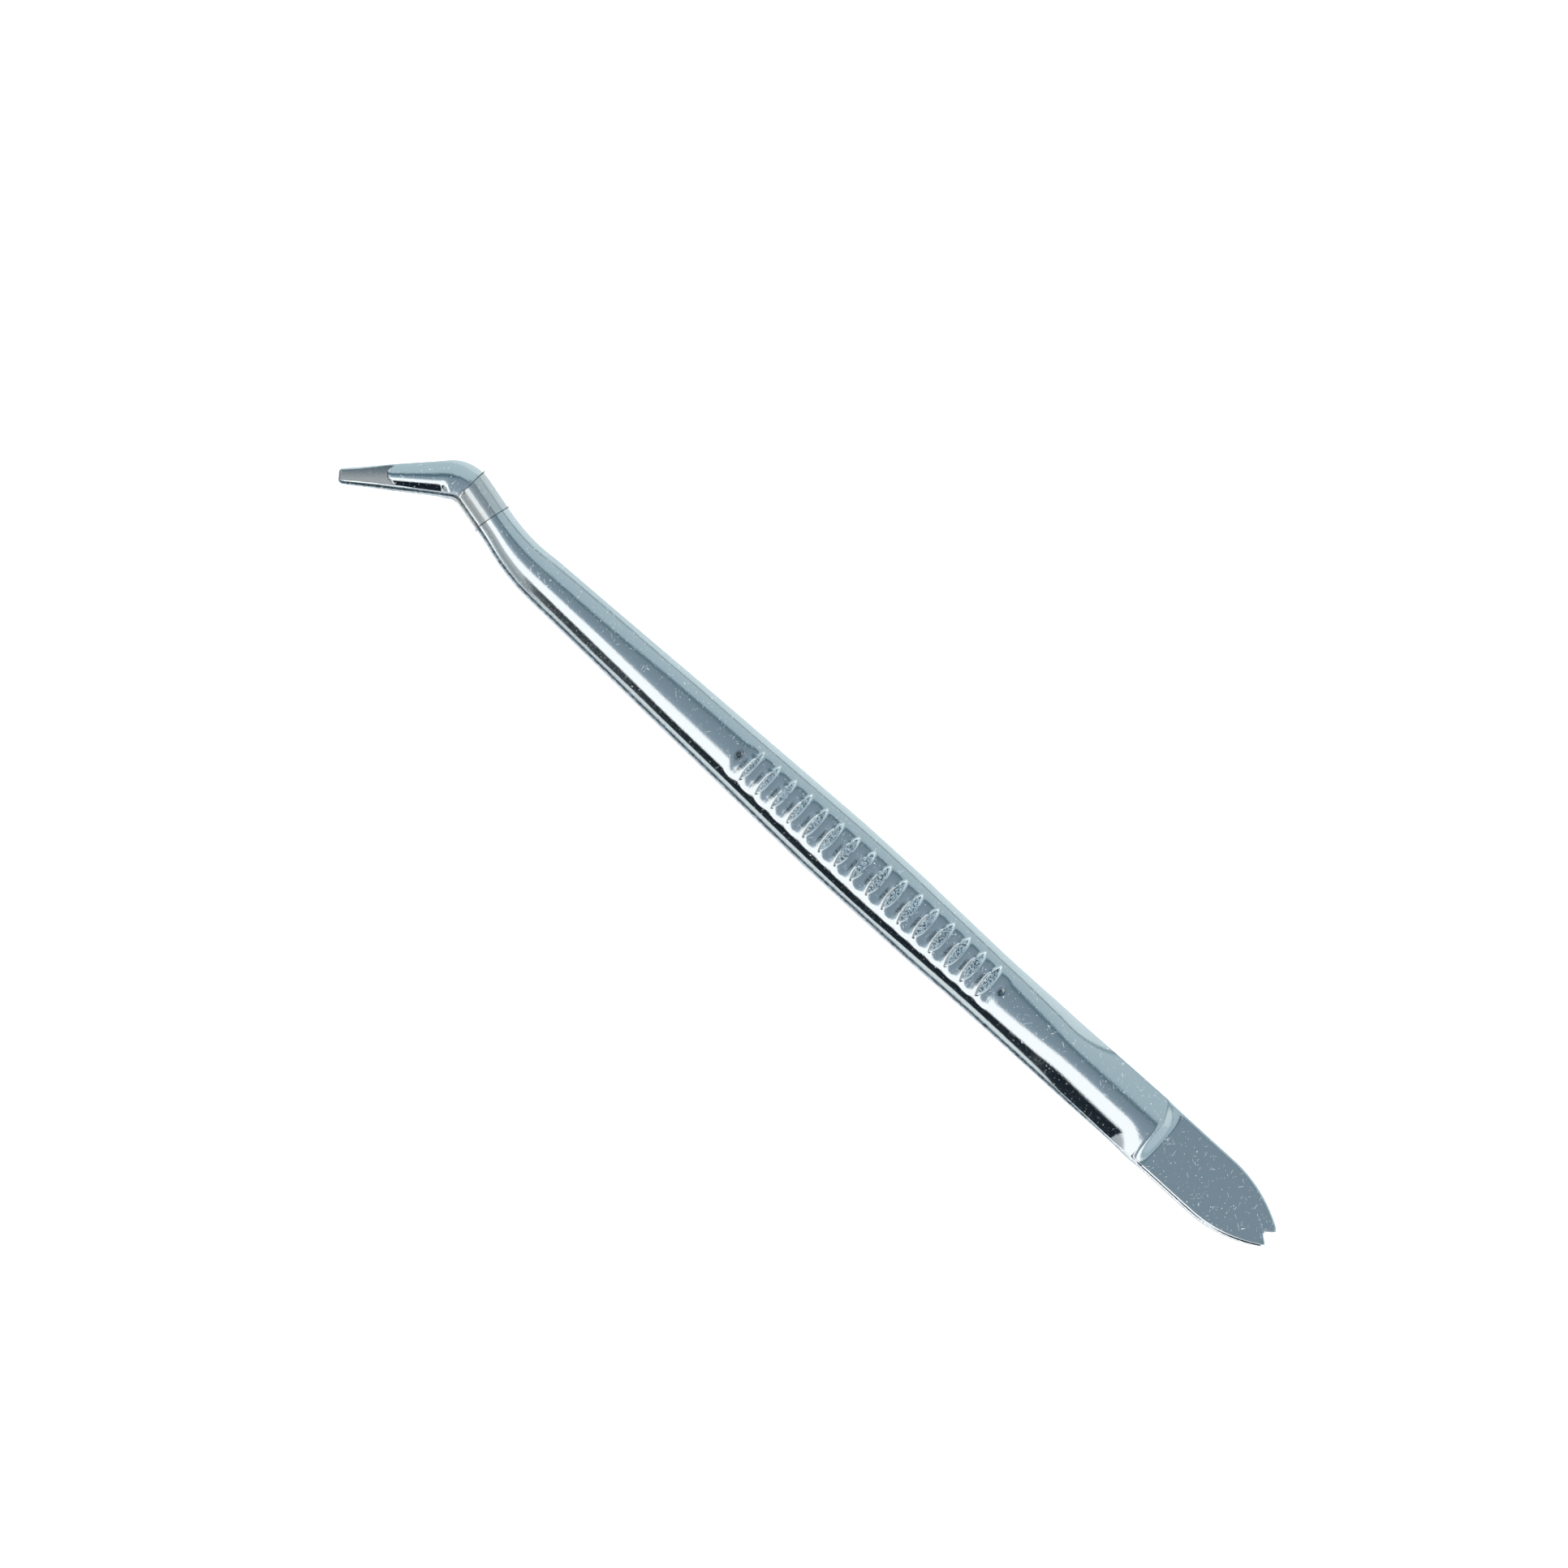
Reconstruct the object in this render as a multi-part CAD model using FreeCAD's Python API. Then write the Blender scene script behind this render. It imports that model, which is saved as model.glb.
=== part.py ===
import FreeCAD, Part

import math
import os

from FreeCAD import Matrix, Vector

# Angled spring tweezers, lying flat: two pressed steel arms, one on top of the other, welded
# together at a flat tail leaf and held shut by a clear band round the neck.
#
# Drawing frame: X from the tail to the tip, Y across the arm towards the side that the tip turns
# to, Z up, with Z = 0 on the seam between the arms. The finished parts are then moved so that the
# origin is at the bottom centre of the whole tool's box. Millimetres throughout.

# ---------------------------------------------------------------- driving dimensions

# Pressed sheet
sheet = 0.95
seam_gap = 0.16                  # between the two arms, everywhere ahead of the welds

# Plan of the centre line: straight body, shallow bend to the neck, sharp elbow to the tip
neck_bend_x = 126.2
neck_bend_radius = 25.0
neck_angle = -13.4               # degrees from +X
elbow_x = 137.9
elbow_radius = 3.4
tip_angle = 41.4
tip_length = 15.9                # from the elbow's corner to the blunt end

# Tail leaf
leaf_half_width = 4.3
leaf_shoulder_x = 9.9            # the leaf starts to round off here
leaf_end_half_width = 1.5
prong_half_width = 1.08          # from the centre line to the middle of each prong's end
prong_round_x = 0.25
notch_depth = 1.0
leaf_edge_round = 0.25
step_x = 17.6                    # foot of the pressed step

# Line that the upper leaf bends about
flexure_x = 16.0
flexure_cut = 0.05

# Hollow on the inside of each arm
hollow_start = 20.5
hollow_end = 132.0
hollow_spacing = 6.0

# Cross ribs of the grip
rib_count = 16
rib_pitch = 2.65
rib_first_x = 47.6
rib_top_half_length = 1.4
rib_top_half_width = 0.34
rib_root_half_length = 3.65
rib_root_half_width = 1.3
rib_shoulder = 0.4               # share of its half length at which a rib reaches its full width
rib_height = 0.22                # of the ground flat top, above the crown
rib_root = 0.6                   # how far the rib's root lies below the crown

# Pips at the two ends of the ribbed grip
pip_beyond = 2.1
pip_radius = 0.5
pip_depth = 0.14

# Working tips
facet_length = 6.0
facet_start_height = 1.3
facet_end_height = 0.6
facet_ramp = 0.35
tooth_count = 18
tooth_pitch = 0.5
tooth_depth = 0.12
tooth_half_width = 0.14
tooth_overrun = 0.05             # how far a tooth's cutter reaches past the face it cuts

# Spot welds
weld_centres_x = (6.2, 11.2)
weld_radius = 1.3
weld_half_height = 0.5

# Greatest spacing of the sections that the elbow and tip are built through
tip_spacing = 1.1

# Least height of a section's upright edge
least_edge = 0.1

# How close two heights or places have to be to count as the same
same = 0.01

# Clear band round the neck
band_past_bend = 0.7             # how far its end reaches past the start of the elbow's bend
band_width = 5.0
band_spans = 4                   # stretches between the sections that it is built through
band_film = 0.16
band_clearance = 0.12

# The lower arm's blade sits a little to the side of the upper one
lower_shift = 0.25
shift_from = 20.0
shift_to = 34.0

# Stations along the arm: distance, half width, crown height, edge height, roundness.
# Heights are above the seam. Roundness 2 is an ellipse, and more is flatter on top.
body_stations = (
    (17.6, 4.30, 0.95, 0.62, 8.0),
    (18.4, 4.29, 1.40, 0.62, 4.4),
    (19.2, 4.28, 1.82, 0.62, 3.2),
    (20.4, 4.27, 1.94, 0.64, 2.7),
    (26.0, 4.20, 1.98, 0.70, 2.4),
    (34.0, 4.13, 2.05, 0.66, 2.3),
    (45.0, 4.12, 2.10, 0.56, 2.6),
    (56.0, 4.28, 2.10, 0.46, 3.0),
    (67.0, 4.46, 2.10, 0.46, 3.0),
    (78.0, 4.20, 2.10, 0.52, 2.7),
    (90.0, 3.80, 2.10, 0.64, 2.3),
    (102.0, 3.42, 2.06, 0.72, 2.1),
    (114.0, 3.00, 2.00, 0.70, 2.0),
    (122.0, 2.76, 1.98, 0.68, 2.0),
    (127.0, 2.40, 1.95, 0.66, 2.0),
    (131.5, 2.14, 1.92, 0.64, 2.0),
    (134.0, 2.15, 1.89, 0.61, 2.0),
)

# The same, with the distance measured from the end of the elbow's bend
tip_stations = (
    (-1.6, 2.16, 1.88, 0.60, 2.0),
    (0.0, 2.10, 1.87, 0.58, 2.0),
    (2.0, 1.88, 1.83, 0.54, 2.0),
    (5.0, 1.58, 1.76, 0.48, 2.0),
    (7.6, 1.38, 1.66, 0.42, 2.0),
    (8.9, 1.08, 1.46, 0.38, 2.0),
    (11.5, 0.90, 1.08, 0.30, 2.0),
)


# ---------------------------------------------------------------- centre line

def heading(angle):
    """Unit vector in plan, the given number of degrees from +X."""
    a = math.radians(angle)
    return Vector(math.cos(a), math.sin(a), 0)


def bend_run(radius, turn):
    """Length of straight that a bend of this turn uses up on each side of its corner."""
    return radius * math.tan(math.radians(abs(turn)) / 2)


elbow_turn = tip_angle - neck_angle
neck_run = bend_run(neck_bend_radius, neck_angle)
elbow_run = bend_run(elbow_radius, elbow_turn)
neck_length = (elbow_x - neck_bend_x) / math.cos(math.radians(neck_angle))

# The line's five stretches: length, turn in degrees
stretches = (
    (neck_bend_x - neck_run, 0.0),
    (neck_bend_radius * math.radians(abs(neck_angle)), neck_angle),
    (neck_length - neck_run - elbow_run, 0.0),
    (elbow_radius * math.radians(elbow_turn), elbow_turn),
    (tip_length - elbow_run, 0.0),
)
elbow_start = sum(length for length, turn in stretches[:3])
elbow_end = elbow_start + stretches[3][0]
line_end = elbow_end + stretches[4][0]


def place_at(distance):
    """Point on the centre line and heading in degrees, this far from the tail."""
    point = Vector(0, 0, 0)
    angle = 0.0
    left = distance
    for length, turn in stretches:
        part_length = min(left, length)
        part_turn = turn * part_length / length
        chord_angle = angle + part_turn / 2
        half = math.radians(part_turn) / 2
        chord = part_length * (math.sin(half) / half if half else 1.0)
        point = point + heading(chord_angle) * chord
        angle += part_turn
        left -= part_length
        if left <= 0:
            break
    return point + heading(angle) * max(left, 0.0), angle


# ---------------------------------------------------------------- sections

tip_rows = tuple((elbow_end + row[0],) + row[1:] for row in tip_stations)
end_row = (line_end, 0.74, 0.72, 0.25, 2.0)
stations = body_stations + tip_rows + (end_row,)


def station_at(distance):
    """Half width, crown height, edge height and roundness between the listed stations."""
    for before, after in zip(stations, stations[1:]):
        if distance <= after[0]:
            share = (distance - before[0]) / (after[0] - before[0])
            return [a + (b - a) * share for a, b in zip(before[1:], after[1:])]
    return list(stations[-1][1:])


def sideways(distance, shift):
    """How far a blade that is shifted sideways lies from the centre line."""
    share = (distance - shift_from) / (shift_to - shift_from)
    share = min(max(share, 0.0), 1.0)
    return shift * share * share * (3 - 2 * share)


def crown_points(half_width, crown, edge, roundness, count=14):
    """The crown from one edge to the other, as offsets across and up."""
    points = []
    for i in range(count + 1):
        across = -math.cos(math.pi * i / count)
        up = edge + (crown - edge) * math.sqrt(max(1 - abs(across) ** roundness, 0.0))
        points.append((half_width * across, up))
    return points


def section_wire(distance, shift, outline, bottom):
    """Closed section across the arm: flat bottom, upright edges and a crown."""
    point, angle = place_at(distance)
    across = heading(angle + 90)
    origin = point + across * sideways(distance, shift)

    def at(offset, height):
        return origin + across * offset + Vector(0, 0, height)

    crown = [at(*p) for p in crown_points(*outline)]
    low_left = at(-outline[0], bottom)
    low_right = at(outline[0], bottom)
    curve = Part.BSplineCurve()
    curve.interpolate(crown)
    return Part.Wire([
        Part.LineSegment(low_left, crown[0]).toShape(),
        curve.toShape(),
        Part.LineSegment(crown[-1], low_right).toShape(),
        Part.LineSegment(low_right, low_left).toShape(),
    ])


def loft_between(distances, shift, bottom, inset=0.0, straight=False):
    """Solid through the arm's sections, or through sections set in by a thickness."""
    wires = []
    for distance in distances:
        half_width, crown, edge, roundness = station_at(distance)
        low_edge = max(edge - inset, bottom + least_edge)
        outline = (half_width - inset, crown - inset, low_edge, roundness)
        wires.append(section_wire(distance, shift, outline, bottom))
    return Part.makeLoft(wires, True, straight)


# ---------------------------------------------------------------- pieces of an arm

def leaf_plate():
    """Flat tail leaf with rounded flanks and a small fishtail notch."""
    run = leaf_shoulder_x - prong_round_x
    drop = leaf_half_width - leaf_end_half_width
    radius = (run * run + drop * drop) / (2 * drop)
    half = math.asin(run / radius) / 2
    edges = []
    for side in (1, -1):
        shoulder = Vector(leaf_shoulder_x, side * leaf_half_width, 0)
        root = Vector(step_x, side * leaf_half_width, 0)
        centre = Vector(leaf_shoulder_x, side * (leaf_half_width - radius), 0)
        middle = centre + Vector(-math.sin(half), side * math.cos(half), 0) * radius
        flank_end = Vector(prong_round_x, side * leaf_end_half_width, 0)
        prong = Vector(0, side * prong_half_width, 0)
        notch = Vector(notch_depth, 0, 0)
        edges += [
            Part.LineSegment(root, shoulder).toShape(),
            Part.Arc(shoulder, middle, flank_end).toShape(),
            Part.LineSegment(flank_end, prong).toShape(),
            Part.LineSegment(prong, notch).toShape(),
        ]
    corners = [Vector(step_x, side * leaf_half_width, 0) for side in (1, -1)]
    edges.append(Part.LineSegment(*corners).toShape())
    outline = Part.Wire(Part.__sortEdges__(edges))
    plate = Part.Face(outline).extrude(Vector(0, 0, sheet))
    rim = [
        edge for edge in plate.Edges
        if min(v.Z for v in edge.Vertexes) > sheet - same
        and min(v.X for v in edge.Vertexes) < step_x - same
    ]
    return plate.makeChamfer(leaf_edge_round, rim)


def evenly(start, end, spacing):
    """Distances from start to end, evenly spaced and no further apart than the spacing."""
    count = math.ceil((end - start) / spacing)
    return [start + (end - start) * i / count for i in range(count + 1)]


def blade(shift):
    """The pressed blade from the step to the blunt tip, still solid, as two lofts."""
    bottom = seam_gap / 2
    body = loft_between([row[0] for row in body_stations] + [elbow_start], shift, bottom)
    tip = loft_between(evenly(elbow_start, line_end, tip_spacing), shift, bottom, straight=True)
    return [body, tip]


def hollow(shift):
    """The open channel on the inside of a blade."""
    distances = evenly(hollow_start, hollow_end, hollow_spacing)
    return loft_between(distances, shift, -seam_gap, inset=sheet)


def ellipsoid(centre, half_x, half_y, half_z):
    """Ellipsoid with its axes along X, Y and Z."""
    scaled = Matrix()
    scaled.scale(half_x, half_y, half_z)
    ball = Part.makeSphere(1.0).transformGeometry(scaled)
    ball.translate(centre)
    return ball


def rib_outline(centre, half_width, half_length):
    """Level outline with a point at each end, long across the arm."""
    shoulder = half_length * rib_shoulder
    corners = [
        centre + Vector(*offset)
        for offset in (
            (0, -half_length), (half_width, -shoulder), (half_width, shoulder),
            (0, half_length), (-half_width, shoulder), (-half_width, -shoulder),
        )
    ]
    return Part.makePolygon(corners + corners[:1])


def ribs(shift):
    """The raised cross ribs of the grip, each with sloping sides and a top ground flat."""
    solids = []
    for i in range(rib_count):
        x = rib_first_x + rib_pitch * i
        crown = station_at(x)[1]
        root = Vector(x, sideways(x, shift), crown - rib_root)
        top = Vector(x, sideways(x, shift), crown + rib_height)
        solids.append(Part.makeLoft([
            rib_outline(root, rib_root_half_width, rib_root_half_length),
            rib_outline(top, rib_top_half_width, rib_top_half_length),
        ], True, True))
    return solids


def pips(shift):
    """Two shallow round dents, one beyond each end of the ribs."""
    last_x = rib_first_x + rib_pitch * (rib_count - 1)
    cutters = []
    for x in (rib_first_x - pip_beyond, last_x + pip_beyond):
        crown = station_at(x)[1]
        radius = (pip_radius ** 2 + pip_depth ** 2) / (2 * pip_depth)
        centre = Vector(x, sideways(x, shift), crown + radius - pip_depth)
        cutters.append(Part.makeSphere(radius, centre))
    return cutters


def tip_tool(profile, shift, half_width=4.0):
    """Prism across the tip, from a profile of (distance back from the end, height) points."""
    end_point, angle = place_at(line_end)
    across = heading(angle + 90)
    origin = end_point + across * shift
    corners = [
        origin - heading(angle) * back + across * -half_width + Vector(0, 0, height)
        for back, height in profile
    ]
    face = Part.Face(Part.makePolygon(corners + corners[:1]))
    return face.extrude(across * (2 * half_width))


def facet(shift):
    """What grinding takes off the outside of a tip, leaving a flat facet."""
    above = 3.0
    past_end = 1.0
    slope = (facet_start_height - facet_end_height) / facet_length
    return tip_tool((
        (-past_end, facet_end_height - slope * past_end),
        (facet_length, facet_start_height),
        (facet_length + facet_ramp, above),
        (-past_end, above),
    ), shift)


def teeth(shift):
    """Small grooves across the inside of a tip."""
    seam = seam_gap / 2
    grooves = []
    for i in range(tooth_count):
        back = tooth_pitch * (i + 1)
        grooves.append(tip_tool((
            (back - tooth_half_width, seam - tooth_overrun),
            (back + tooth_half_width, seam - tooth_overrun),
            (back, seam + tooth_depth),
        ), shift))
    return grooves


def arm(shift):
    """One whole arm on the upper side of the seam."""
    solid = leaf_plate().fuse(blade(shift) + ribs(shift))
    solid = solid.cut([hollow(shift), facet(shift)] + pips(shift) + teeth(shift))
    return solid.removeSplitter()


# ---------------------------------------------------------------- the tool's pieces

def tail_side_of(x):
    """A block that holds everything on the tail's side of a cut across the arm."""
    long, wide, tall = 40.0, 60.0, 20.0
    return Part.makeBox(long, wide, tall, Vector(x - long, -wide / 2, -tall / 2))


def weld_nuggets():
    """The two spots of fused metal between the leaves."""
    return [ellipsoid(Vector(x, 0, 0), weld_radius, weld_radius, weld_half_height)
            for x in weld_centres_x]


def band_loop(distance, offset):
    """The loop that a film this far off the two closed arms would follow."""
    half_width, crown, edge, roundness = station_at(distance)
    point, angle = place_at(distance)
    across = heading(angle + 90)
    half = half_width + offset + lower_shift / 2
    top = crown_points(half, crown + offset, edge, roundness)
    origin = point + across * (lower_shift / 2)

    def at(offset_across, height):
        return origin + across * offset_across + Vector(0, 0, height)

    upper = Part.BSplineCurve()
    upper.interpolate([at(a, z) for a, z in top])
    lower = Part.BSplineCurve()
    lower.interpolate([at(a, -z) for a, z in reversed(top)])
    return Part.Wire([
        upper.toShape(),
        Part.LineSegment(at(half, edge), at(half, -edge)).toShape(),
        lower.toShape(),
        Part.LineSegment(at(-half, -edge), at(-half, edge)).toShape(),
    ])


def neck_band():
    """A clear film sleeve that holds the two arms together at the neck."""
    last = elbow_start + band_past_bend
    distances = [last - band_width * i / band_spans for i in range(band_spans + 1)]
    inner = [band_loop(d, band_clearance) for d in distances]
    outer = [band_loop(d, band_clearance + band_film) for d in distances]
    return Part.makeLoft(outer, True, False).cut(Part.makeLoft(inner, True, False))


def build():
    """Every piece, by its name, in the drawing frame."""
    nuggets = weld_nuggets()
    upper = arm(0.0).cut(nuggets)
    lower = arm(lower_shift).mirror(Vector(0, 0, 0), Vector(0, 0, 1)).cut(nuggets)
    return {
        "upper_tail_leaf": upper.common(tail_side_of(flexure_x)),
        "upper_arm": upper.cut(tail_side_of(flexure_x + flexure_cut)),
        "lower_arm": lower,
        "weld_nuggets": Part.makeCompound(nuggets),
        "neck_band": neck_band(),
    }


def main():
    os.makedirs("parts", exist_ok=True)
    pieces = build()
    box = Part.makeCompound(list(pieces.values())).optimalBoundingBox()
    to_origin = Vector(-box.Center.x, -box.Center.y, -box.ZMin)
    for name, shape in pieces.items():
        shape.translate(to_origin)
        shape.exportStep("parts/" + name + ".step")
        volume = sum(solid.Volume for solid in shape.Solids)
        print(name, "solids", len(shape.Solids), "valid", shape.isValid(), "mm3 %.1f" % volume)
    print("box %.2f x %.2f x %.2f" % (box.XLength, box.YLength, box.ZLength))
    hinge = Vector(flexure_x, 0, sheet) + to_origin
    print("flexure line through", [round(v, 3) for v in hinge])
    print("seam height %.3f" % to_origin.z)


main()
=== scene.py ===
import math

import bmesh
import bpy
import numpy as np
from mathutils import Matrix, Vector


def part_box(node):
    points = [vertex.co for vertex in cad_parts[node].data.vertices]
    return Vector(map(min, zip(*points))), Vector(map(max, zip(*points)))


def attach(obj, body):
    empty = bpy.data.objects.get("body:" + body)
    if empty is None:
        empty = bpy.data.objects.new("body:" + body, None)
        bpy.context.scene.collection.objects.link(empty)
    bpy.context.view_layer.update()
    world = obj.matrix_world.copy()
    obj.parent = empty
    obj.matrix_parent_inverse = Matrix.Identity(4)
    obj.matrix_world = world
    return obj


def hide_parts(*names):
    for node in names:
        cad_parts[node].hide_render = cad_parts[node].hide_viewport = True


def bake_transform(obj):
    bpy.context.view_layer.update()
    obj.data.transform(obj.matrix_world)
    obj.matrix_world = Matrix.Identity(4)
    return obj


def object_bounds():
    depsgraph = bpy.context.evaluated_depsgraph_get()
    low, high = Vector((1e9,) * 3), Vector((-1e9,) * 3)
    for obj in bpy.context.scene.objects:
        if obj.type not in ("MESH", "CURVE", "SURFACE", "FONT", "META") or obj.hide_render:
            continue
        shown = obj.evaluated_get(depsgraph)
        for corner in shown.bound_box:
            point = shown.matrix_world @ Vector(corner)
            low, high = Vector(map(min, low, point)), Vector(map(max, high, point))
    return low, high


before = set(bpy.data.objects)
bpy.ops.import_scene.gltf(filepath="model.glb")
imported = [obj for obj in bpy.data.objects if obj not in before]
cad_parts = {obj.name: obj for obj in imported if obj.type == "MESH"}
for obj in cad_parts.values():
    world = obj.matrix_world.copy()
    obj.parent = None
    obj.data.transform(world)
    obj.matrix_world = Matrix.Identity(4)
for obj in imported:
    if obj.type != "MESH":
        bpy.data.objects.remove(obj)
cad_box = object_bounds()

# Angled spring tweezers, lying flat. Drawing frame, in millimetres: X from the tail to the tip, Y
# across the arm towards the side that the tip turns to, Z up from the seam between the two arms.
# to_row() takes a point from the drawing frame to the row frame, in metres.

mm = 0.001
leaf_low, leaf_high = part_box("upper_tail_leaf")
drawing_origin = np.array([
    cad_box[0].x,
    (leaf_low.y + leaf_high.y) / 2,
    (cad_box[0].z + cad_box[1].z) / 2,
])


def to_row(points):
    """Drawing frame, mm, to row frame, m."""
    return np.asarray(points, float) * mm + drawing_origin


# ---------------------------------------------------------------- driving dimensions

# Pressed sheet
sheet = 0.95
seam_gap = 0.16                  # between the two arms, everywhere ahead of the welds
seam_open_run = 0.5              # length over which the seam opens, ahead of the welds

# Plan of the centre line: straight body, shallow bend to the neck, sharp elbow to the tip
neck_bend_x = 126.2
neck_bend_radius = 25.0
neck_angle = -13.4               # degrees from +X
elbow_x = 137.9
elbow_radius = 3.4
tip_angle = 41.4
tip_length = 15.9                # from the elbow's corner to the blunt end

# Tail leaf
leaf_half_width = 4.3
leaf_shoulder_x = 9.9            # the leaf starts to round off here
leaf_end_half_width = 1.5
prong_half_width = 1.08          # from the centre line to the middle of each prong's end
prong_round_x = 0.25
notch_depth = 1.0
leaf_rim = 0.35                  # width of the slope round the leaf
leaf_rim_fall = 0.09
tail_reach = 3.0                 # how far from the tail's end the rows follow its outline

# Pressed step between the leaf and the body
step_foot_x = 17.8
step_run = 2.2                   # from the middle to the +Y edge
step_corner = 0.19               # how fast the run grows towards the -Y edge
step_straight = 1.2              # from the middle to where the run starts to grow

# Hollow on the inside of each arm
hollow_start = 20.5
hollow_end = 132.0
hollow_ease = 1.5                # length over which its ends slope
hollow_wall_ease = 0.12          # width over which its walls slope

# Cross ribs of the grip, ground flat on top
rib_count = 16
rib_pitch = 2.65
rib_first_x = 47.6
rib_half_length = 2.5
rib_half_width = 0.70
rib_end_power = 2.5              # how blunt their pointed ends are
rib_fade = 0.3                   # share of its size that the last rib has lost
rib_height = 0.22
rib_bevel = 0.2
rib_rim = 0.16                   # smooth border round the ground top
rib_rim_ease = 0.08

# Shallow valleys between the ribs, which fade out towards both edges
valley_dip = 0.13
valley_end = 3.3                 # on the +Y side
valley_end_ease = 1.6
valley_start = -2.4              # on the -Y side
valley_start_ease = 3.4

# Dark streaks on the tip's side of each rib
streak_from_rib = 1.0
streak_half_width = 0.25
streak_middle = 0.8              # towards +Y
streak_half_length = 1.6
streak_ease = 1.2

# Pips at the two ends of the grip, each in a dark patch
pip_beyond = 2.1
pip_radius = 0.5
pip_depth = 0.07
dark_patch_half_size = (0.65, 0.95)   # along and across
dark_patch_offset = 0.15              # towards +Y
dark_patch_core = 0.32                # share of its size that is fully dark
dark_patch_ease = 0.8

# Working tips, with a ground facet outside and teeth inside
facet_length = 6.0
facet_start_height = 1.3
facet_end_height = 0.6
facet_ramp = 0.35                # length over which the ground plane rises clear of the crown
facet_clear = 2.0                # how far it rises there
facet_curve = 0.7                # how far the facet's start curves back towards its sides
tip_round = 0.55
tooth_count = 18
tooth_pitch = 0.5
tooth_depth = 0.12
tooth_half_width = 0.14

# Clear band round the neck
band_past_bend = 0.7             # how far its end reaches past the start of the elbow's bend
band_width = 5.0
band_film = 0.155
band_clearance = 0.12

# The lower arm lies a little towards +Y, so its sheared edge shows
lower_shift = 0.25
shift_from = 20.0
shift_to = 34.0
lower_wall_painted_shade = 1.0            # how strong the painted shade on its upright edges is, close to the floor
seam_painted_shade_reach = 0.192          # how far painted shade reaches on its inside, past the upper arm's edge
seam_painted_shade_ease = 0.12

# Sheared edges, and the rough border that shearing leaves on the inside face
rough_border = 0.35
rough_border_ease = 0.2

# Near the tail, the far side of the blade falls at an even slope
far_slope = 0.235
far_round = 2.0
far_from = 25.0
far_to = 37.0

# From the grip to the neck, the crown's highest line moves towards +Y
crown_offset = 0.3
offset_from = 78.0
offset_to = 121.0

# Where the inner side of the elbow is pressed flatter
press_flattening = 0.92
press_ease = 1.0
press_before = 0.2               # from the start of the bend
press_after = 1.5                # from the end of the bend

# Sections of the outside, which follow part of an ellipse. Its height, the share of its half width
# that is used, and its power (2 is an ellipse) come after the distance, half width and crown height.
section_columns = ("distance", "half_width", "crown", "ellipse_height", "ellipse_share", "power")
sections = (
    (0.0, 4.30, 1.94, 18.0, 0.238, 2.0),
    (20.4, 4.28, 1.94, 18.0, 0.238, 2.0),
    (24.0, 4.23, 1.96, 8.7, 0.485, 2.0),
    (27.0, 4.19, 1.99, 7.6, 0.515, 2.0),
    (32.0, 4.14, 2.03, 5.2, 0.62, 2.0),
    (38.0, 4.12, 2.07, 2.3, 0.86, 2.2),
    (46.0, 4.12, 2.10, 1.75, 0.92, 2.6),
    (56.0, 4.28, 2.10, 1.68, 0.925, 2.9),
    (67.0, 4.46, 2.10, 1.68, 0.925, 2.9),
    (78.0, 4.20, 2.10, 1.62, 0.92, 2.7),
    (90.0, 3.80, 2.10, 1.48, 0.92, 2.4),
    (102.0, 3.42, 2.06, 1.34, 0.92, 2.2),
    (114.0, 3.00, 2.00, 1.78, 0.80, 2.0),
    (122.0, 2.76, 1.98, 1.78, 0.80, 2.0),
    (127.0, 2.40, 1.95, 1.28, 0.90, 2.0),
    (131.5, 2.14, 1.92, 1.28, 0.90, 2.0),
)
# The same, with the distance measured from the end of the elbow's bend
tip_sections = (
    (-1.6, 2.16, 1.88, 1.28, 0.90, 2.0),
    (0.0, 2.10, 1.87, 1.28, 0.88, 2.0),
    (2.0, 1.88, 1.83, 1.28, 0.84, 2.0),
    (5.0, 1.58, 1.76, 1.26, 0.81, 2.0),
    (7.6, 1.34, 1.66, 1.22, 0.81, 2.0),
    (8.9, 1.21, 1.55, 1.21, 0.83, 2.0),
    (11.5, 0.98, 1.28, 1.14, 0.88, 2.0),
    (14.2, 0.76, 0.95, 0.85, 0.92, 2.0),
)


# ---------------------------------------------------------------- centre line

def bend_run(radius, turn):
    """Length of straight that a bend of this turn uses up on each side of its corner."""
    return radius * math.tan(math.radians(abs(turn)) / 2)


neck_run = bend_run(neck_bend_radius, neck_angle)
elbow_turn = tip_angle - neck_angle
elbow_run = bend_run(elbow_radius, elbow_turn)
neck_length = (elbow_x - neck_bend_x) / math.cos(math.radians(neck_angle))
stretches = (
    (neck_bend_x - neck_run, 0.0),
    (neck_bend_radius * math.radians(abs(neck_angle)), neck_angle),
    (neck_length - neck_run - elbow_run, 0.0),
    (elbow_radius * math.radians(elbow_turn), elbow_turn),
    (tip_length - elbow_run, 0.0),
)
elbow_start = sum(length for length, turn in stretches[:3])
elbow_end = elbow_start + stretches[3][0]
line_end = elbow_end + stretches[4][0]


def place_at(distance):
    """Point on the centre line and heading in radians, this far from the tail."""
    x, y, angle = 0.0, 0.0, 0.0
    left = distance
    for index, (length, turn) in enumerate(stretches):
        last = index == len(stretches) - 1
        part = left if last else min(left, length)
        turned = math.radians(turn) * part / length
        chord = part * (math.sin(turned / 2) / (turned / 2) if turned else 1.0)
        x += chord * math.cos(angle + turned / 2)
        y += chord * math.sin(angle + turned / 2)
        angle += turned
        left -= part
        if left <= 0:
            break
    return x, y, angle


def swept(distance, across, height):
    """Points at these distances along the line, offsets across it and heights."""
    flat = [place_at(d) for d in np.asarray(distance).ravel()]
    x, y, angle = (np.array(column).reshape(np.shape(distance)) for column in zip(*flat))
    return np.stack([x - across * np.sin(angle), y + across * np.cos(angle), height], axis=-1)


def ease(share):
    """0 to 1 with level ends."""
    share = np.clip(share, 0.0, 1.0)
    return share * share * (3 - 2 * share)


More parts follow.
